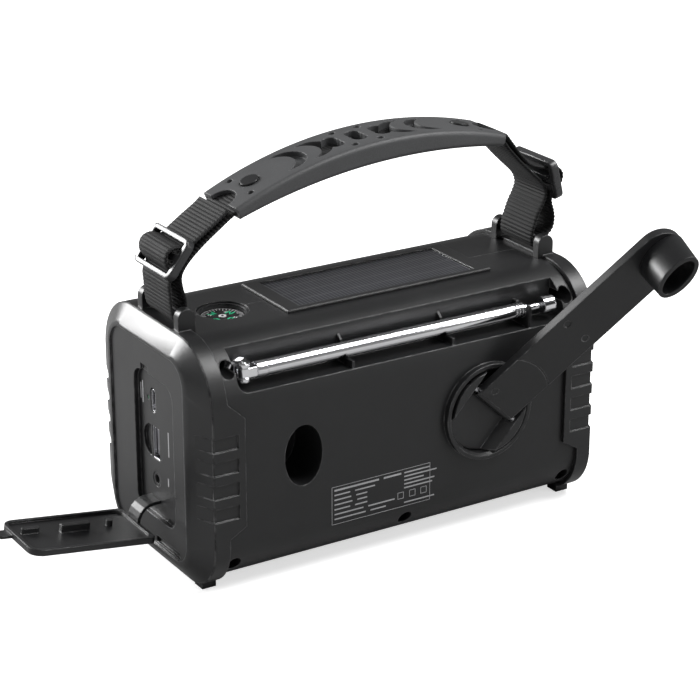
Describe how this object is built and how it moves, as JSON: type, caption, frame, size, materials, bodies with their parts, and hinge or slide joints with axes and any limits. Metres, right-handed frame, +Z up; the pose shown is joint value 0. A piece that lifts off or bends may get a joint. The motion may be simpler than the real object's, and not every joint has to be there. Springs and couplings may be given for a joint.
{
  "type": "emergency radio",
  "caption": "Portable hand-crank and solar emergency radio with end bumpers, telescopic antenna, fold-out crank, rubber port cover and webbing carry handle.",
  "frame": {"origin": "centre of the case's flat underside, halfway between the two end caps", "axes": "+X towards the end with the ports, +Y out of the rear face with the crank and antenna, +Z up"},
  "size_m": [0.2581, 0.1356, 0.1574],
  "materials": {
    "case_plastic": "fine-grained matte moulding",
    "bumper_rubber": "satin overmoulded elastomer",
    "cap_plastic": "satin moulding",
    "grip_plastic": "matte soft moulding",
    "crank_plastic": "smooth matte moulding",
    "knob_plastic": "satin moulding",
    "cover_rubber": "matte elastomer",
    "webbing": "ribbed woven nylon",
    "buckle_plastic": "satin moulding",
    "chrome": "polished plating",
    "steel": "turned",
    "black_steel": "black zinc",
    "solar": "striped cells",
    "clear": "clear",
    "compass_dial": "printed dial",
    "gear_plastic": "natural acetal",
    "brass": "turned",
    "board": "solder mask",
    "cell_wrap": "shrink sleeve",
    "speaker_paper": "pressed paper",
    "ferrite": "sintered",
    "reflector": "vacuum metallised",
    "led": "phosphor dome",
    "inner_plastic": "plain moulding",
    "display": "dark glass"
  },
  "bodies": {
    "case": {"rear_shell": "case_plastic", "front_shell": "case_plastic", "bumper_ports": "bumper_rubber", "bumper_torch": "bumper_rubber", "end_cap_ports": "cap_plastic", "end_cap_torch": "cap_plastic", "torch_lens": "clear", "torch_reflector": "reflector", "torch_led": "led", "usb_c_socket": "steel", "usb_a_socket": "steel", "jack_socket": "inner_plastic", "port_board": "board", "cover_strap": "cover_rubber", "solar_frame": "case_plastic", "solar_cells": "solar", "solar_window": "clear", "compass_cup": "inner_plastic", "compass_lens": "clear", "crank_bush": "brass", "dynamo_can": "steel", "gear_plate": "inner_plastic", "battery_cells": "cell_wrap", "battery_tray": "inner_plastic", "main_board": "board", "display_window": "display", "display_module": "inner_plastic", "speaker_basket": "black_steel", "speaker_cone": "speaker_paper", "ferrite_rod": "ferrite", "case_screws": "black_steel", "ear_bars": "steel", "buckles": "buckle_plastic", "webbing_ports": "webbing", "webbing_torch": "webbing"},
    "antenna": {"antenna_swivel": "chrome", "antenna_pin": "chrome", "antenna_knuckle": "chrome", "antenna_tube_outer": "chrome", "antenna_tube_middle": "chrome", "antenna_rod": "chrome", "antenna_tip": "chrome"},
    "crank": {"crank_hub": "crank_plastic", "crank_hinge_pin": "steel", "crank_shaft": "steel", "crank_gear": "gear_plastic"},
    "arm": {"crank_arm": "crank_plastic", "crank_knob_stud": "steel"},
    "knob": {"crank_knob": "knob_plastic"},
    "idler": {"idler_gear": "gear_plastic"},
    "rotor": {"dynamo_rotor": "steel"},
    "cover": {"port_cover": "cover_rubber"},
    "compass": {"compass_card": "compass_dial"},
    "handle": {"handle_grip": "grip_plastic", "grip_rivets": "knob_plastic"},
    "button_1_body": {"button_1": "knob_plastic"},
    "button_2_body": {"button_2": "knob_plastic"},
    "button_3_body": {"button_3": "knob_plastic"},
    "button_4_body": {"button_4": "knob_plastic"}
  },
  "joints": [
    {"name": "antenna_swing", "type": "hinge", "parent": "case", "child": "antenna", "pos_m": [0.0688, 0.0357, 0.0843], "axis": [0, 1, 0], "range_deg": [0, 95]},
    {"name": "crank_spin", "type": "hinge", "parent": "case", "child": "crank", "pos_m": [-0.0355, 0.0424, 0.0485], "axis": [0, 1, 0], "continuous": true},
    {"name": "crank_fold", "type": "hinge", "parent": "crank", "child": "arm", "pos_m": [-0.03803, 0.0436, 0.0512], "axis": [-0.7302, 0, -0.6833], "range_deg": [0, 145]},
    {"name": "knob_spin", "type": "hinge", "parent": "arm", "child": "knob", "pos_m": [-0.09414, 0.0714, 0.11116], "axis": [0.2191, 0.9472, -0.2341], "continuous": true},
    {"name": "idler_spin", "type": "hinge", "parent": "case", "child": "idler", "pos_m": [-0.0075, 0.028, 0.0485], "axis": [0, 1, 0], "continuous": true},
    {"name": "dynamo_spin", "type": "hinge", "parent": "case", "child": "rotor", "pos_m": [0.0205, 0.01, 0.0485], "axis": [0, 1, 0], "continuous": true},
    {"name": "cover_hinge", "type": "hinge", "parent": "case", "child": "cover", "pos_m": [0.09168, 0.0046, 0.01455], "axis": [0, -1, 0], "range_deg": [0, 82], "deforming": ["cover_strap"]},
    {"name": "compass_turn", "type": "hinge", "parent": "case", "child": "compass", "pos_m": [0.0585, 0.0013, 0.0913], "axis": [0, 0, 1], "continuous": true},
    {"name": "handle_drop", "type": "slide", "parent": "case", "child": "handle", "axis": [0, 0, -1], "range_m": [0, 0.03], "deforming": ["webbing_ports", "webbing_torch"]},
    {"name": "button_1_press", "type": "slide", "parent": "case", "child": "button_1_body", "axis": [0, 1, 0], "range_m": [0, 0.0008], "stiffness_N_per_m": 400},
    {"name": "button_2_press", "type": "slide", "parent": "case", "child": "button_2_body", "axis": [0, 1, 0], "range_m": [0, 0.0008], "stiffness_N_per_m": 400},
    {"name": "button_3_press", "type": "slide", "parent": "case", "child": "button_3_body", "axis": [0, 1, 0], "range_m": [0, 0.0008], "stiffness_N_per_m": 400},
    {"name": "button_4_press", "type": "slide", "parent": "case", "child": "button_4_body", "axis": [0, 1, 0], "range_m": [0, 0.0008], "stiffness_N_per_m": 400}
  ],
  "couplings": [
    {"joint": "idler_spin", "follows": "crank_spin", "ratio": -3},
    {"joint": "dynamo_spin", "follows": "crank_spin", "ratio": 9}
  ]
}
